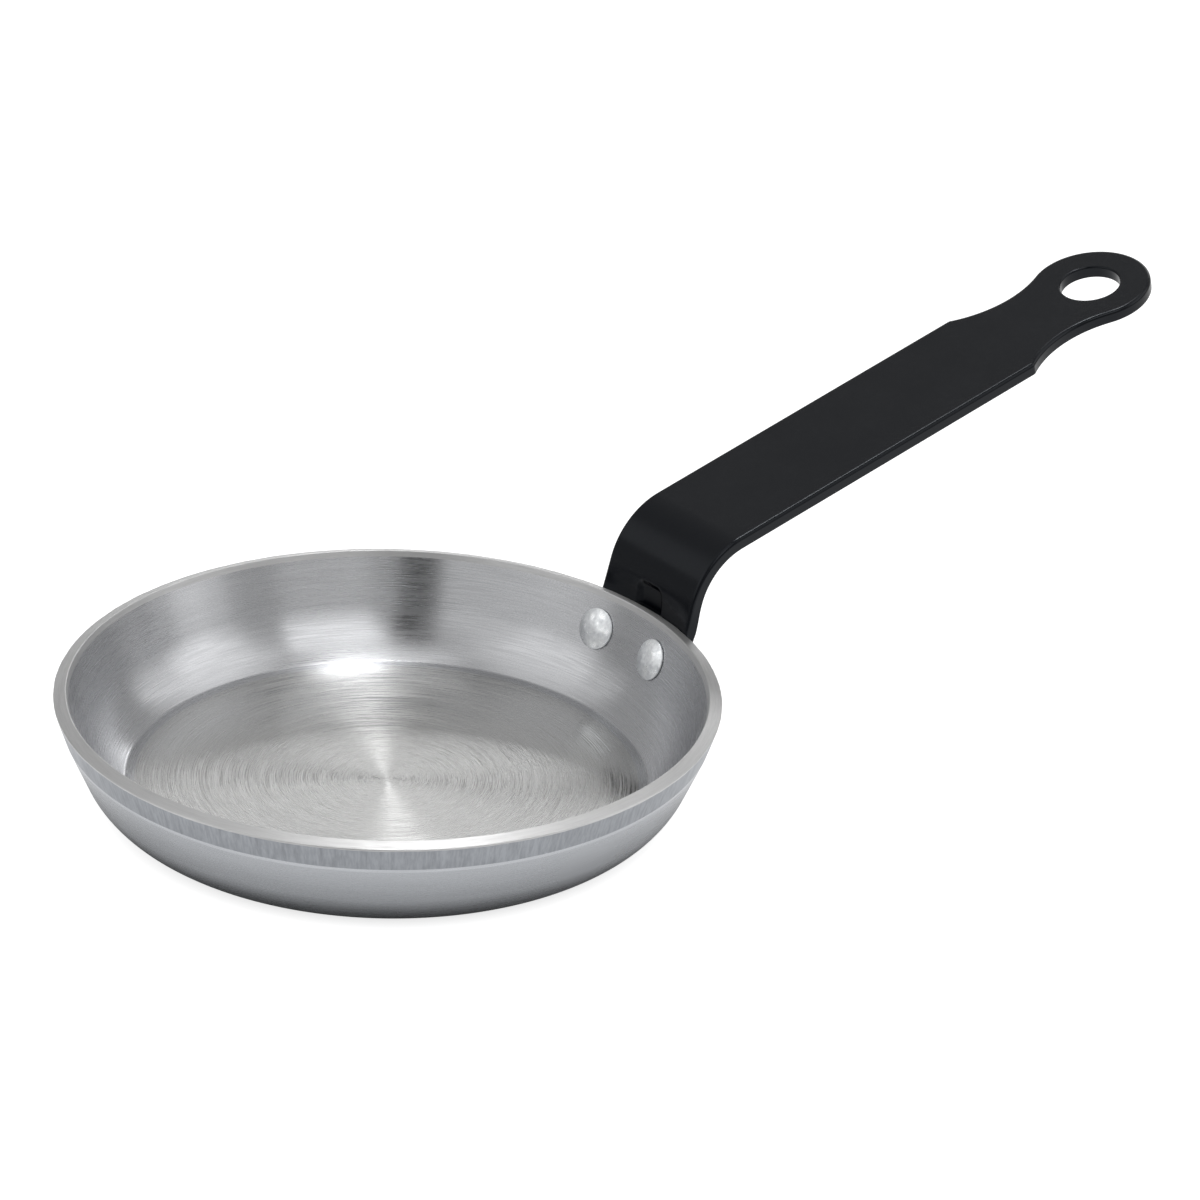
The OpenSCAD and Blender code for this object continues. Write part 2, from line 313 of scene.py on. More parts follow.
def pan_profile():
    """The pan's section from the centre of the underside, out, up, over the rim and down
    to the centre of the floor. Gives points, normals and the zone of the stretch that
    starts at each point."""
    centre_r = 0.6
    foot = np.array([R_FOOT, 0.0])
    crease = (R_CREASE, Z_CREASE)
    rim = (RIM_R, Z_RIM)
    lip = (RIM_IN_R, PAN_HEIGHT)
    tangent = (R_TAN, Z_TAN)
    curve = (CURVE_R, CURVE_Z)
    curve_top = (CURVE_R + INNER_CURVE * math.cos(INNER_LEAN),
                 CURVE_Z - INNER_CURVE * math.sin(INNER_LEAN))
    floor_edge = np.array([R_FLOOR, BASE_T])
    # a point on each arc's tangent, for the two edges that a line makes with an arc
    up_foot = foot + np.array([-math.sin(FOOT_TURN), math.cos(FOOT_TURN)])
    up_floor = floor_edge + np.array([-math.sin(CURVE_END), math.cos(CURVE_END)])
    at_foot = round_corner((0, 0), foot, up_foot, EDGE_FOOT, 8)
    at_crease = round_corner(tangent, crease, rim, EDGE_CREASE, 4)
    at_rim = round_corner(crease, rim, lip, EDGE_OUT, 8)
    at_lip = round_corner(rim, lip, curve_top, EDGE_IN, 6)
    at_floor = round_corner(up_floor, floor_edge, (0, BASE_T), EDGE_FLOOR, 8, hollow=True)
    # the angle of each arc that its rounded edge takes up
    foot_step = EDGE_FOOT * math.tan((math.pi / 2 + FOOT_TURN) / 2) / CORNER_R
    floor_step = EDGE_FLOOR * math.tan((math.pi / 2 + CURVE_END) / 2) / INNER_CURVE
    parts = [
        (SIDE, line((centre_r, 0), at_foot[0][0], 12)),
        (SIDE, at_foot),
        (SIDE, arc((CORNER_AT, CORNER_Z), CORNER_R, FOOT_TURN + foot_step, -WALL_LEAN, 26)),
        (SIDE, line(tangent, at_crease[0][0], 10)),
        (SIDE, at_crease),
        (BAND, line(at_crease[0][-1], at_rim[0][0], 8)),
        (CUT, at_rim),
        (CUT, line(at_rim[0][-1], at_lip[0][0], 6)),
        (CUT, at_lip),
        (WALL, line(at_lip[0][-1], curve_top, 10)),
        (WALL, arc(curve, INNER_CURVE, -INNER_LEAN, CURVE_END + floor_step, 26, hollow=True)),
        (WALL, at_floor),
        (FLOOR, line(at_floor[0][-1], (centre_r, BASE_T), 30)),
    ]
    points = np.concatenate([p[1][0] for p in parts])
    normals = np.concatenate([p[1][1] for p in parts])
    zones = np.concatenate([np.full(len(p[1][0]), p[0]) for p in parts])
    # where two stretches meet, their common point is kept once
    keep = np.ones(len(points), bool)
    keep[1:] = np.linalg.norm(np.diff(points, axis=0), axis=1) > 1e-4
    return points[keep], normals[keep], zones[keep]


def burr(theta, r, z):
    """How far the turned edge of the rim is worn back: the part of a sum of sines round
    the rim that is over a low level, strongest on the edge itself and fading away from it
    as a bell curve."""
    reach = 0.4
    level = -0.03
    # height in mm, waves round the rim and phase
    waves = ((0.018, 23, 0.4), (0.016, 61, 1.9), (0.014, 143, 2.6), (0.012, 307, 0.7),
             (0.012, 431, 4.1))
    near = np.exp(-((r - RIM_R) ** 2 + (z - Z_RIM) ** 2) / reach ** 2)
    wave = sum(height * np.sin(count * theta + phase) for height, count, phase in waves)
    return near * np.maximum(wave - level, 0)


def turned(profile, normals, steps):
    """The profile carried round +Z in equal steps: points, normals and the steps' angles."""
    theta = np.arange(steps) * 2 * math.pi / steps
    c, s = np.cos(theta)[None, :, None], np.sin(theta)[None, :, None]

    def carry(rz):
        r, z = rz[:, 0][:, None, None], rz[:, 1][:, None, None]
        return np.concatenate([r * c, r * s, z * np.ones_like(c)], axis=2)

    return carry(profile), carry(normals), theta


def turned_faces(rings, steps):
    """Quads between the rings, and two fans of triangles that close the ends."""
    quads, ids = [], np.arange(steps)
    for k in range(rings - 1):
        quads.append(ring_quads(k * steps + ids, (k + 1) * steps + ids))
    first, last = rings * steps, rings * steps + 1
    top = (rings - 1) * steps
    start = np.stack([np.full(steps, first), np.roll(ids, -1), ids], axis=1)
    end = np.stack([top + ids, top + np.roll(ids, -1), np.full(steps, last)], axis=1)
    return quads, start, end


def pan(materials):
    """The pan: its section turned round +Z, with the rim's outer edge a little worn."""
    profile, normals, zones = pan_profile()
    steps = 480
    points, directions, theta = turned(profile, normals, steps)
    worn = burr(theta[None, :], profile[:, 0][:, None], profile[:, 1][:, None])
    points = points - directions * worn[..., None]
    lengths = np.linalg.norm(np.diff(profile, axis=0), axis=1)
    along = np.concatenate([[0], np.cumsum(lengths)])
    ends = np.array([[0, 0, 0], [0, 0, BASE_T]])
    points = np.concatenate([points.reshape(-1, 3), ends])
    directions = np.concatenate([directions.reshape(-1, 3), [[0, 0, -1], [0, 0, 1]]])
    quads, start, end = turned_faces(len(profile), steps)
    zone = [np.full(steps, z) for z in (*zones[:-1], SIDE, FLOOR)]
    along = np.append(np.repeat(along, steps), [along[0] - profile[0, 0],
                                                along[-1] + profile[-1, 0]])
    return make_mesh("pan", points, [*quads, start, end], directions, materials, zone,
                     {"along": along})


# The strip of the handle: (s, y, d) is a place on it, with s the way from the start of
# the bend, y the way across and d the depth below the top face


def wall_r(z):
    """Radius of the pan's outer wall at a height, on its two straight stretches."""
    return np.where(z > Z_CREASE, RIM_R - (Z_RIM - z) * math.tan(BAND_LEAN),
                    R_CREASE - (Z_CREASE - z) * math.tan(WALL_LEAN))


def recess(y, z):
    """Depth of the pressed recess: a rounded box's signed distance, made smooth over the
    width of its sloping wall."""
    a = np.abs(y) - (RECESS_HALF - RECESS_CORNER)
    b = (np.abs(z - (RECESS_TOP + RECESS_LOW) / 2)
         - ((RECESS_TOP - RECESS_LOW) / 2 - RECESS_CORNER))
    outside = np.hypot(np.maximum(a, 0), np.maximum(b, 0))
    distance = outside + np.minimum(np.maximum(a, b), 0) - RECESS_CORNER
    return RECESS_D * smooth(-distance / RECESS_WALL)


def on_flange(s, y, d):
    """A place on the flange: it follows the round wall up to the rim, then grows flat
    across up to the bend."""
    z = Z_BEND + s * math.cos(OUTLINE_LEAN)
    above = z > Z_RIM
    wrap = 1 - smooth((z - Z_RIM) / (Z_FLAT - Z_RIM))
    r = wall_r(z)
    high = X_EDGE + FIT_GAP + (z - Z_RIM) * math.tan(FLANGE_LEAN) + wrap * (
        np.sqrt(RIM_R ** 2 - y * y) - X_EDGE)
    room = np.maximum(LEAST_GAP, FIT_GAP * (1 - (Z_RIM - z) / SETTLE))
    low = np.sqrt(r * r - y * y) + room
    below = smooth((Z_CREASE - z) / LEAN_BLEND + 0.5)
    lean = np.where(above, FLANGE_LEAN + (BAND_LEAN - FLANGE_LEAN) * wrap,
                    BAND_LEAN + (WALL_LEAN - BAND_LEAN) * below)
    turn = np.arcsin(y / np.where(above, RIM_R, r)) * np.where(above, wrap, 1.0)
    t = recess(y, z) + d
    return np.stack([np.where(above, high, low) + t * np.cos(lean) * np.cos(turn),
                     y + t * np.cos(lean) * np.sin(turn), z - t * np.sin(lean)], axis=-1)


def on_bend(s, y, d):
    """A place on the bend: a circle about the bend's centre line."""
    angle = FLANGE_LEAN + s / BEND_R
    return np.stack([X_BC - (BEND_R - d) * np.cos(angle), y + 0 * s,
                     Z_BC + (BEND_R - d) * np.sin(angle)], axis=-1)


def on_grip(s, y, d):
    """A place on the straight grip."""
    x_end = X_BC - BEND_R * math.sin(GRIP_SLOPE)
    z_end = Z_BC + BEND_R * math.cos(GRIP_SLOPE)
    t = s - BEND_LEN
    return np.stack([x_end + t * math.cos(GRIP_SLOPE) + d * math.sin(GRIP_SLOPE), y + 0 * s,
                     z_end + t * math.sin(GRIP_SLOPE) - d * math.cos(GRIP_SLOPE)], axis=-1)


def on_strip(s, y, d):
    """A place on the strip: flange, bend or grip by its s."""
    s, y, d = np.broadcast_arrays(*(np.asarray(v, float) for v in (s, y, d)))
    place = np.where((s < 0)[..., None], on_flange(np.minimum(s, 0), y, d), on_bend(s, y, d))
    return np.where((s > BEND_LEN)[..., None], on_grip(s, y, d), place)


def strip_normals(s, y, d, direction):
    """Directions given along s, across and down into the strip, turned to the frame by
    the strip's own axes there, which are small differences of its places."""
    h = 0.02
    along = unit(on_strip(s + h, y, d) - on_strip(s - h, y, d))
    across = unit(on_strip(s, y + h, d) - on_strip(s, y - h, d))
    down = unit(np.cross(across, along))
    return unit(along * direction[..., 0:1] + across * direction[..., 1:2]
                + down * direction[..., 2:3])


def half_outline():
    """The right half of the strip's outline in (s, y), from the lower corner of the
    flange to the tip, with its outward normals. The first point is the end of the
    straight lower edge."""
    corner = (S_LOW + FLANGE_CORNER, HALF_W - FLANGE_CORNER)
    lower, lower_n = arc(corner, FLANGE_CORNER, math.pi, math.pi / 2, 14)
    # the shoulder's small arc touches the side line and the neck's cut
    shoulder_y = HALF_W - SHOULDER_R
    reach = math.sqrt((NECK_CUT_R + SHOULDER_R) ** 2 - (CUT_Y - shoulder_y) ** 2)
    s_sh = S_NECK - reach
    meet = math.atan2(CUT_Y - shoulder_y, reach)
    flange_step = 0.35
    bend_step = 0.4
    grip_step = 2.0
    side_s = np.concatenate([np.arange(S_LOW + FLANGE_CORNER, 0, flange_step)[1:],
                             np.arange(0, BEND_LEN, bend_step),
                             np.arange(BEND_LEN, s_sh, grip_step)])
    side = np.stack([side_s, np.full(len(side_s), HALF_W)], axis=1)
    side_n = np.tile([0.0, 1.0], (len(side_s), 1))
    shoulder, shoulder_n = arc((s_sh, shoulder_y), SHOULDER_R, math.pi / 2, meet, 7)
    # the cut runs smoothly into the rounded end
    last = math.atan2(-CUT_Y, NECK_GAP)
    neck, neck_n = arc((S_NECK, CUT_Y), NECK_CUT_R, meet - math.pi, last, 36, hollow=True)
    tip, tip_n = arc((S_HOLE, 0.0), END_R, last + math.pi, 0.0, 44)
    tip, tip_n = tip[1:], tip_n[1:]
    points = np.concatenate([lower, side, shoulder, neck[1:], tip])
    normals = np.concatenate([lower_n, side_n, shoulder_n, neck_n[1:], tip_n])
    return points, normals


def handle(material):
    """The handle: a flat form of the strip, with rounded edges all round and in the hole,
    laid on the strip's path.

    The face is a grid from edge to edge up to the hole, then rays from the hole's edge to
    the outline. The edge is a quarter circle, a side and a smaller quarter circle below,
    carried round the outline and round the hole.
    """
    # room between the grid's last row and the hole
    hole_room = 3.0
    outline, normal = half_outline()
    inset = outline - normal * EDGE_STRIP
    columns = 97
    rows = int(np.argmax(inset[:, 0] > S_HOLE - HOLE_R - hole_room)) + 1
    v = np.linspace(-1, 1, columns)
    grid_s = np.repeat(inset[:rows, 0][:, None], columns, axis=1)
    grid_y = inset[:rows, 1][:, None] * v
    # loop of the face's edge round the tip: the last row, then the outline and its mirror
    right, right_n = inset[rows:], normal[rows:]
    left, left_n = right[::-1][1:] * [1, -1], right_n[::-1][1:] * [1, -1]
    row = np.stack([grid_s[-1], grid_y[-1]], axis=1)
    outer = np.concatenate([row, right, left])
    angle = np.arctan2(outer[:, 1], outer[:, 0] - S_HOLE)
    hole_n = -np.stack([np.cos(angle), np.sin(angle)], axis=1)
    hole = np.array([S_HOLE, 0]) - hole_n * (HOLE_R + EDGE_HOLE)
    steps = np.linspace(0, 1, 7)[1:]
    rays = outer[None] * (1 - steps)[:, None, None] + hole[None] * steps[:, None, None]
    face = np.concatenate([np.stack([grid_s, grid_y], axis=-1).reshape(-1, 2),
                           np.concatenate([right, left]), rays.reshape(-1, 2)])
    # point numbers: the tip's loop starts with the grid's last row
    n_grid, n_outer = rows * columns, len(outer)
    loops = [np.concatenate([np.arange(n_grid - columns, n_grid),
                             n_grid + np.arange(n_outer - columns)])]
    first_ray = n_grid + n_outer - columns
    for k in range(len(steps)):
        loops.append(first_ray + k * n_outer + np.arange(n_outer))
    quads = [grid_quads(rows, columns)]
    quads += [ring_quads(a, b) for a, b in zip(loops[:-1], loops[1:])]
    quads = np.concatenate(quads)
    # the outline's loop: lower edge, right side, tip, left side
    lower = np.arange(columns)
    right_side = np.arange(1, rows) * columns + columns - 1
    left_side = np.arange(rows - 1, 0, -1) * columns
    edge_ids = np.concatenate([lower, right_side, loops[0][columns:], left_side])
    edge_n = np.concatenate([np.tile([-1.0, 0.0], (columns, 1)), normal[1:rows], right_n,
                             left_n, normal[1:rows][::-1] * [1, -1]])
    count = len(face)
    s = [face[:, 0], face[:, 0]]
    y = [face[:, 1], face[:, 1]]
    d = [np.zeros(count), np.full(count, STRIP_T)]
    out = [np.tile([0.0, 0.0, -1.0], (count, 1)), np.tile([0.0, 0.0, 1.0], (count, 1))]
    faces = [quads[:, ::-1], quads + count]
    start = 2 * count
    for ids, flat_n, edge, flip in ((edge_ids, edge_n, EDGE_STRIP, False),
                                    (loops[-1], hole_n, EDGE_HOLE, True)):
        turn = np.linspace(0, math.pi / 2, 6)
        back = turn[::-1]
        reach = np.concatenate([np.sin(turn[1:]) * edge,
                                edge - (1 - np.sin(back)) * EDGE_UNDER])
        depth = np.concatenate([(1 - np.cos(turn[1:])) * edge,
                                STRIP_T - (1 - np.cos(back)) * EDGE_UNDER])
        tilt = np.concatenate([-np.cos(turn[1:]), np.cos(back)])
        previous = ids
        for far, low, up in zip(reach, depth, tilt):
            place = face[ids] + flat_n * far
            side = math.sqrt(max(1 - up * up, 0))
            s.append(place[:, 0])
            y.append(place[:, 1])
            d.append(np.full(len(ids), low))
            out.append(np.concatenate([flat_n * side, np.full((len(ids), 1), up)], axis=1))
            here = start + np.arange(len(ids))
            faces.append(ring_quads(previous, here)[:, ::-1 if flip else 1])
            previous, start = here, start + len(ids)
        faces.append(ring_quads(previous, ids + count)[:, ::-1 if flip else 1])
    s, y, d, out = (np.concatenate(a) for a in (s, y, d, out))
    points = on_strip(s, y, d)
    return make_mesh("handle_strip", points, faces, strip_normals(s, y, d, out), [material])


# Rivets


def hammered(x, y, radius, seed):
    """Relief of a hammered head: the lowest of the dome and of flat blows at set places,
    each a plane just under the dome, blended where they meet."""
    rng = np.random.default_rng(seed)
    height = np.sqrt(DOME_R ** 2 - x * x - y * y) - DOME_R + HEAD_H
    far = HEAD_R * np.sqrt(rng.uniform(0.0, 1.0, BLOWS)) * BLOW_REACH
    way = rng.uniform(0, 2 * math.pi, BLOWS)
    sink = rng.uniform(*BLOW_DEPTH, BLOWS)
    heights = [height]
    for k in range(BLOWS):
        px, py = far[k] * math.cos(way[k]), far[k] * math.sin(way[k])
        pz = math.sqrt(DOME_R ** 2 - px * px - py * py)
        plane = (DOME_R * DOME_R - px * x - py * y) / pz - DOME_R + HEAD_H - sink[k]
        heights.append(plane)
    # a smooth minimum: the log of the sum of their exponents
    stack = -np.array(heights) / BLOW_BLEND
    most = stack.max(axis=0)
    low = -BLOW_BLEND * (most + np.log(np.exp(stack - most).sum(axis=0)))
    return np.where(radius < HEAD_R, low, height)


def rivet(name, side, seed, material):
    """A rivet: head, shank and closing head, turned round the rivet's axis, with the head
    hammered and its edge a little off the wall. side is 1 for the left one and -1 for the
    right one. In the rivet's own frame +z points out of the pan and 0 is the inner wall."""
    rim_turn = math.asin((HEAD_R - HEAD_FOLD) / DOME_R)
    turn = np.linspace(0, 1, 32)[1:] * rim_turn
    head = np.stack([DOME_R * np.sin(turn), DOME_R * (1 - np.cos(turn)) - HEAD_H], axis=1)
    head_n = np.stack([np.sin(turn), -np.cos(turn)], axis=1)
    edge_z = head[-1, 1] + HEAD_FOLD
    edge, edge_n = arc((HEAD_R - HEAD_FOLD, edge_z), HEAD_FOLD, rim_turn - math.pi / 2, 0, 5)
    neck_r = HEAD_R - HEAD_UNDERCUT
    tail_turn = np.linspace(math.asin(TAIL_R / TAIL_DOME), 0, 20)[:-1]
    tail_z = RIVET_SEAT + TAIL_H - TAIL_DOME
    tail = np.stack([TAIL_DOME * np.sin(tail_turn), tail_z + TAIL_DOME * np.cos(tail_turn)],
                    axis=1)
    tail_n = np.stack([np.sin(tail_turn), np.cos(tail_turn)], axis=1)
    # the first line starts a hair past the fold, so that no point comes twice
    hair = 0.02
    parts = [(head, head_n), (edge[1:], edge_n[1:]),
             line((HEAD_R, edge_z + hair), (HEAD_R, -HEAD_LIFT), 2),
             line((HEAD_R, -HEAD_LIFT), (neck_r, -HEAD_LIFT), 2),
             line((neck_r, -HEAD_LIFT), (neck_r, HEAD_SEAT), 3),
             line((neck_r, HEAD_SEAT), (SHANK_R, HEAD_SEAT), 3),
             line((SHANK_R, HEAD_SEAT), (SHANK_R, RIVET_SEAT), 3),
             line((SHANK_R, RIVET_SEAT), (TAIL_R, RIVET_SEAT), 3),
             line((TAIL_R, RIVET_SEAT), tail[0], 3), (tail, tail_n)]
    profile = np.concatenate([p[0] for p in parts])
    normals = np.concatenate([p[1] for p in parts])
    steps = 96
    points, directions, _ = turned(profile, normals, steps)
    ends = np.array([[0, 0, -HEAD_H], [0, 0, RIVET_SEAT + TAIL_H]])
    points = np.concatenate([points.reshape(-1, 3), ends])
    directions = np.concatenate([directions.reshape(-1, 3), [[0, 0, -1], [0, 0, 1]]])
    x, y = points[:, 0], points[:, 1]
    radius = np.hypot(x, y)
    # the blows fall on the dome and on the start of its fold
    on_head = ((points[:, 2] < edge_z - HEAD_FOLD * 0.2)
               & (radius < HEAD_R - HEAD_FOLD * 0.5))
    h = 0.01
    relief = hammered(x, y, radius, seed)
    slope_x = (hammered(x + h, y, radius, seed) - hammered(x - h, y, radius, seed)) / (2 * h)
    slope_y = (hammered(x, y + h, radius, seed) - hammered(x, y - h, radius, seed)) / (2 * h)
    struck = np.stack([-slope_x, -slope_y, -np.ones_like(x)], axis=1)
    points[:, 2] = np.where(on_head, -relief, points[:, 2])
    directions = np.where(on_head[:, None], struck, directions)
    quads, start, end = turned_faces(len(profile), steps)
    place = (Matrix.Rotation(side * RIVET_TURN, 4, "Z")
             @ Matrix.Translation((R_RIVET, 0, Z_RIVET))
             @ Matrix.Rotation(math.pi / 2 + INNER_LEAN, 4, "Y"))
    turn = np.array(place.to_3x3())
    points = points @ turn.T + np.array(place.translation)
    return make_mesh(name, points, [*quads, start, end], directions @ turn.T, [material])


# Materials


def new_material(name):
    """A material with its node tree, and the shader in it."""
    material = bpy.data.materials.new(name)
    material.use_nodes = True
    shader = material.node_tree.nodes["Principled BSDF"]
    return material, material.node_tree, shader


def put(tree, kind, settings=None, **inputs):
    """A node of a kind, with its settings, and with its inputs set or linked."""
    n = tree.nodes.new(kind)
    for key, value in (settings or {}).items():
        setattr(n, key, value)
    for key, value in inputs.items():
        slot = n.inputs[int(key[1:])] if key[0] == "i" and key[1:].isdigit() else n.inputs[key]
        if isinstance(value, bpy.types.NodeSocket):
            tree.links.new(value, slot)
        else:
            slot.default_value = value
    return n


def math_node(tree, operation, a, b=0.0, c=0.0):
    """The result of a Math node."""
    return put(tree, "ShaderNodeMath", {"operation": operation}, i0=a, i1=b, i2=c).outputs[0]


def spread(tree, value, low, high, to_low, to_high):
    """value taken from low..high to to_low..to_high, and held there."""
    n = put(tree, "ShaderNodeMapRange", None, Value=value)
    n.inputs["From Min"].default_value = low
    n.inputs["From Max"].default_value = high
    n.inputs["To Min"].default_value = to_low
    n.inputs["To Max"].default_value = to_high
    return n.outputs[0]


def object_place(tree):
    """The place of a point in its object, in metres."""
    return put(tree, "ShaderNodeTexCoord").outputs["Object"]


def around(tree, across, length):
    """Coordinates for marks that run round the pan: the way along the section times
    across, and the direction from the axis times length, so that there is no seam."""
    flat = put(tree, "ShaderNodeVectorMath", {"operation": "MULTIPLY"}, i0=object_place(tree))
    flat.inputs[1].default_value = (1, 1, 0)
    way = put(tree, "ShaderNodeVectorMath", {"operation": "NORMALIZE"}, i0=flat.outputs[0])
    scaled = put(tree, "ShaderNodeVectorMath", {"operation": "SCALE"}, i0=way.outputs[0])
    scaled.inputs["Scale"].default_value = length
    along = put(tree, "ShaderNodeAttribute", {"attribute_name": "along"}).outputs["Fac"]
    lift = put(tree, "ShaderNodeCombineXYZ", None,
               Z=math_node(tree, "MULTIPLY", along, across))
    return put(tree, "ShaderNodeVectorMath", {"operation": "ADD"}, i0=scaled.outputs[0],
               i1=lift.outputs[0]).outputs[0]


def noise(tree, vector, scale, detail, rough):
    """A noise value between 0 and 1."""
    return put(tree, "ShaderNodeTexNoise", {"noise_dimensions": "3D"}, Vector=vector,
               Scale=scale, Detail=detail, Roughness=rough).outputs[0]


def mix_tone(tree, value, low, high, dark, light):
    """A colour that goes from dark to light as value goes from low to high."""
    tone = put(tree, "ShaderNodeMix", {"data_type": "RGBA"},
               i0=spread(tree, value, low, high, 0.0, 1.0))
    tone.inputs[6].default_value = (*dark, 1)
    tone.inputs[7].default_value = (*light, 1)
    return tone.outputs[2]


def add_bump(tree, shader, height, depth):
    """Relief on a shader: height is a value of about 0 to 1, and depth is in mm."""
    bump = put(tree, "ShaderNodeBump", None, Strength=1.0, Distance=depth * MM, Height=height)
    tree.links.new(bump.outputs[0], shader.inputs["Normal"])


def steel(name, colour, rough, middle, aniso, lines, patches, relief):
    """Bare steel with marks that run round the pan.

    rough is the roughness of the smoothest and of the coarsest marks, and middle is the
    value of the marks' noise where it lies halfway. lines is (marks per mm, length,
    strength) of the fine marks, patches is how far wide cloudy patches change the
    roughness, and relief is the depth of the marks in mm.
    """
    material, tree, shader = new_material(name)
    per_mm, length, strength = lines
    # coarse marks: how many there are for a fine one, across and along, and their share in
    # tone and relief
    coarse_across, coarse_along, share = 0.22, 0.6, 0.5
    # how far from its middle the noise reaches the smoothest and the coarsest marks
    step = 0.07
    fine = noise(tree, around(tree, per_mm, length), 1.0, 3.0, 0.6)
    coarse = noise(tree, around(tree, per_mm * coarse_across, length * coarse_along),
                   1.0, 2.0, 0.5)
    marks = math_node(tree, "MULTIPLY_ADD", coarse, share,
                      math_node(tree, "MULTIPLY", fine, 1 - share))
    dark = tuple(c * (1 - strength) for c in colour)
    level = spread(tree, fine, middle - step, middle + step, rough[1], rough[0])
    cloud = noise(tree, object_place(tree), 60.0, 2.0, 0.5)
    wide = spread(tree, cloud, 0.3, 0.7, -patches, patches)
    tree.links.new(mix_tone(tree, marks, 0.3, 0.62, dark, colour), shader.inputs["Base Color"])
    tree.links.new(math_node(tree, "ADD", level, wide), shader.inputs["Roughness"])
    add_bump(tree, shader, marks, relief)
    shader.inputs["Metallic"].default_value = 1.0
    shader.inputs["Anisotropic"].default_value = aniso
    # a quarter turn, so that the marks run along the tangent
    shader.inputs["Anisotropic Rotation"].default_value = 0.25
    tangent = put(tree, "ShaderNodeTangent", {"direction_type": "RADIAL", "axis": "Z"})
    tree.links.new(tangent.outputs[0], shader.inputs["Tangent"])
    return material


def coating():
    """Black baked coating: half gloss, with a faint orange peel."""
    material, tree, shader = new_material("black_coating")
    peel = noise(tree, object_place(tree), 900.0, 2.0, 0.55)
    wide = noise(tree, object_place(tree), 110.0, 2.0, 0.5)
    shader.inputs["Base Color"].default_value = (0.0015, 0.0019, 0.0032, 1)
    shader.inputs["Specular IOR Level"].default_value = 0.24
    shader.inputs["Specular Tint"].default_value = (0.86, 0.92, 1, 1)
    level = math_node(tree, "ADD", spread(tree, peel, 0.35, 0.65, 0.16, 0.2),
                      spread(tree, wide, 0.35, 0.65, -0.02, 0.02))
    tree.links.new(level, shader.inputs["Roughness"])
    add_bump(tree, shader, math_node(tree, "MULTIPLY_ADD", wide, 1.5, peel), 0.006)
    return material


def rivet_steel():
    """Bright struck steel: small patches of tone and a fine peened grain."""
    material, tree, shader = new_material("rivet_steel")
    blotch = noise(tree, object_place(tree), 900.0, 3.0, 0.6)
    grain = noise(tree, object_place(tree), 3000.0, 2.0, 0.5)
    tone = mix_tone(tree, blotch, 0.35, 0.62, (0.7, 0.72, 0.74), (0.96, 0.98, 0.99))
    tree.links.new(tone, shader.inputs["Base Color"])
    tree.links.new(spread(tree, blotch, 0.35, 0.65, 0.44, 0.26), shader.inputs["Roughness"])
    add_bump(tree, shader, math_node(tree, "MULTIPLY_ADD", grain, 0.35, blotch), 0.02)
    shader.inputs["Metallic"].default_value = 0.75
    return material


# Studio


def direction(azimuth, elevation):
    """Unit vector from the pan: azimuth from +X towards +Y, in degrees."""
    a, e = math.radians(azimuth), math.radians(elevation)
    return Vector((math.cos(a) * math.cos(e), math.sin(a) * math.cos(e), math.sin(e)))


def dot(tree, vector, axis):
    """The dot product of a vector and a fixed axis."""
    n = put(tree, "ShaderNodeVectorMath", {"operation": "DOT_PRODUCT"}, i0=vector)
    n.inputs[1].default_value = axis
    return n.outputs["Value"]


def floor():
    """A white table top: its own colour, which takes the lamps' real faint shadow, plus a glow
    that only the camera, metal and glass see. That glow is weaker under the pan, a painted
    shadow. For what the metal mirrors it is gone there, and it is weaker far from the pan and
    near the camera: painted shade in the reflections."""
    corners = 64
    table_r = 4000.0
    angle = np.arange(corners) * 2 * math.pi / corners
    rim = table_r * np.stack([np.cos(angle), np.sin(angle), 0 * angle], axis=1)
    material, tree, shader = new_material("table_white")
    shader.inputs["Base Color"].default_value = (0.3, 0.3, 0.3, 1)
    shader.inputs["Roughness"].default_value = 0.9
    shader.inputs["Specular IOR Level"].default_value = 0.0
    shader.inputs["Emission Color"].default_value = (1, 1, 1, 1)
    place = object_place(tree)
    length = put(tree, "ShaderNodeVectorMath", {"operation": "LENGTH"}, i0=place)
    away = length.outputs["Value"]
    behind = dot(tree, place, -direction(CAMERA_AZIMUTH, 0))
    foot, wide = R_FOOT * MM, RIM_R * MM
    # painted shadow: the glow the camera sees falls to 0.75 towards the pan's foot, on top of
    # the real shadow on the 0.3 grey
    seen = spread(tree, away, foot, 0.9 * wide, 0.75, 1.0)
    # painted shade in the reflections: no glow under the pan, and less far from it
    mirrored = math_node(tree, "MULTIPLY",
                         spread(tree, away, 1.08 * foot, 1.1 * wide, 0.0, 0.9),
                         spread(tree, away, 4 * wide, 8 * wide, 1.0, 0.15))
    # painted shade in the reflections: less glow on the side towards the camera
    mirrored = math_node(tree, "MULTIPLY", mirrored,
                         spread(tree, behind, -2.5 * wide, -1.2 * wide, 0.2, 1.0))
    path = put(tree, "ShaderNodeLightPath").outputs
    sent_on = math_node(tree, "MAXIMUM", path["Is Glossy Ray"], path["Is Transmission Ray"])
    light = math_node(tree, "MULTIPLY_ADD", seen, path["Is Camera Ray"],
                      math_node(tree, "MULTIPLY", mirrored, sent_on))
    tree.links.new(light, shader.inputs["Emission Strength"])
    up = np.tile([0.0, 0.0, 1.0], (corners, 1))
    top = make_mesh("table_top", rim, [np.arange(corners)[None, :]], up, [material])
    # a hair under the pan, so that the two faces don't lie in one plane
    top.location.z = -0.02 * MM


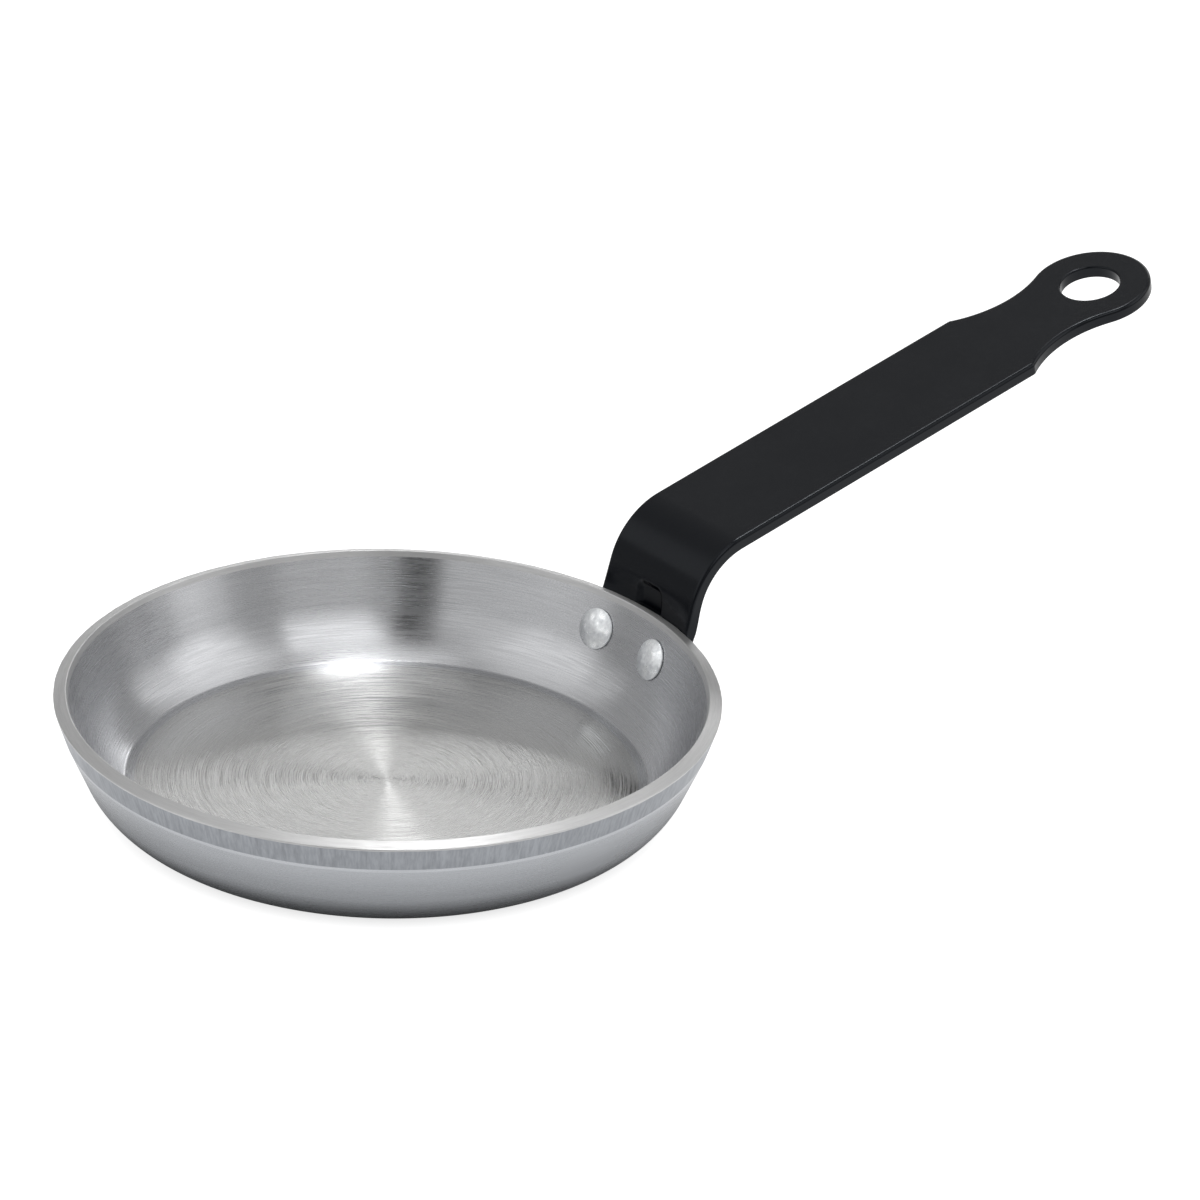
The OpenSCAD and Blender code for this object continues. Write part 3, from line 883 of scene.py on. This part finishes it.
def gap(tree, azimuth, elevation, width, height):
    """1 outside a rectangle of the room's walls and 0 in it, with a soft edge. Its place
    and its size are angles in degrees, seen from the pan."""
    # half the width of the soft edge, as a tangent
    soft = 0.04
    way = put(tree, "ShaderNodeTexCoord").outputs["Generated"]
    ahead = direction(azimuth, elevation)
    side = direction(azimuth + 90, 0)
    forward = dot(tree, way, ahead)
    inside = spread(tree, forward, 0.0, 0.01, 0.0, 1.0)
    for axis, size in ((side, width), (ahead.cross(side), height)):
        off = math_node(tree, "ABSOLUTE",
                        math_node(tree, "DIVIDE", dot(tree, way, axis), forward))
        half = math.tan(math.radians(size / 2))
        inside = math_node(tree, "MULTIPLY", inside,
                           spread(tree, off, half - soft, half + soft, 1.0, 0.0))
    return math_node(tree, "SUBTRACT", 1.0, inside)


def world():
    """A grey room, dark behind the camera."""
    w = bpy.data.worlds.new("studio")
    bpy.context.scene.world = w
    w.use_nodes = True
    tree = w.node_tree
    back = tree.nodes["Background"]
    back.inputs["Color"].default_value = (ROOM, ROOM, ROOM, 1)
    dark = gap(tree, azimuth=221, elevation=31, width=15, height=63)
    tree.links.new(dark, back.inputs["Strength"])


def softbox(name, azimuth, elevation, width, height, level):
    """A rectangular lamp aimed at the pan. Its place and its size are angles in degrees,
    seen from the pan; level is how much brighter than the room its face is, 1 for white."""
    lamp = bpy.data.lights.new(name, "AREA")
    lamp.shape = "RECTANGLE"
    lamp.size = 2 * LAMP_DISTANCE * math.tan(math.radians(width / 2))
    lamp.size_y = 2 * LAMP_DISTANCE * math.tan(math.radians(height / 2))
    lamp.energy = level * math.pi * lamp.size * lamp.size_y
    obj = bpy.data.objects.new(name, lamp)
    away = direction(azimuth, elevation)
    obj.location = away * LAMP_DISTANCE
    obj.rotation_euler = away.to_track_quat("Z", "Y").to_euler()
    bpy.context.scene.collection.objects.link(obj)


def camera():
    """The photograph's viewpoint: a long lens above the side away from the handle."""
    lens = bpy.data.cameras.new("camera")
    lens.sensor_fit = "HORIZONTAL"
    lens.sensor_width = SENSOR
    lens.lens = LENS
    lens.shift_x, lens.shift_y = SHIFT
    lens.clip_end = 20.0
    obj = bpy.data.objects.new("camera", lens)
    back = direction(CAMERA_AZIMUTH, CAMERA_ELEVATION)
    level = direction(CAMERA_AZIMUTH + 90, 0)
    right = Matrix.Rotation(math.radians(CAMERA_ROLL), 3, back) @ level
    axes = Matrix((right, back.cross(right), back)).transposed()
    place = Vector(CAMERA_AIM) + back * CAMERA_DISTANCE
    obj.matrix_world = Matrix.Translation(place) @ axes.to_4x4()
    bpy.context.scene.collection.objects.link(obj)
    bpy.context.scene.camera = obj


def build():
    """All pieces, each on the part's one body and in place of its solid."""
    steels = [
        steel("floor_steel", (0.59, 0.59, 0.585), rough=(0.13, 0.42), middle=0.46, aniso=0.95,
              lines=(14.0, 2.5, 0.05), patches=0.01, relief=0.0001),
        steel("wall_steel", (0.545, 0.55, 0.565), rough=(0.24, 0.31), middle=0.5, aniso=0.93,
              lines=(6.0, 6.0, 0.1), patches=0.01, relief=0.0007),
        steel("cut_steel", (0.6, 0.6, 0.6), rough=(0.42, 0.5), middle=0.5, aniso=0.5,
              lines=(5.0, 12.0, 0.12), patches=0.01, relief=0.004),
        steel("band_steel", (0.34, 0.355, 0.38), rough=(0.4, 0.48), middle=0.5, aniso=0.3,
              lines=(0.4, 120.0, 0.25), patches=0.02, relief=0.006),
        steel("side_steel", (0.5, 0.515, 0.54), rough=(0.26, 0.32), middle=0.5, aniso=0.5,
              lines=(3.0, 8.0, 0.06), patches=0.02, relief=0.001),
    ]
    bright = rivet_steel()
    pieces = (
        (pan(steels), "pan_body", "pan_steel"),
        (handle(coating()), "handle", "handle_coating"),
        (rivet("rivet_left_struck", 1, 11, bright), "rivet_left", "rivet_steel"),
        (rivet("rivet_right_struck", -1, 29, bright), "rivet_right", "rivet_steel"),
    )
    for piece, node, slot in pieces:
        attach(piece, "root")
        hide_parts(node)


camera()
build()
floor()
world()
# name, azimuth, elevation, width, height and level of each lamp
for lamp in (
        ("overhead", 36, 73, 8, 8, 21.0),
        ("overhead_back", 46, 60, 10, 16, 4.0),
        ("top", 196, 83, 21, 21, 1.0),
        ("left_side", 148, 45, 48, 46, 0.45),
        ("left_low", 180, 28, 68, 40, 0.4),
        ("right_side", 328, 39, 47, 49, 0.75),
        ("right_low", 311, 20, 33, 37, 0.4),
        ("back_low", 40, 21, 38, 9.5, 2.3),
        ("front_right", 259, 48, 31, 32, 1.4)):
    softbox(*lamp)
bpy.context.scene.view_settings.view_transform = "Standard"
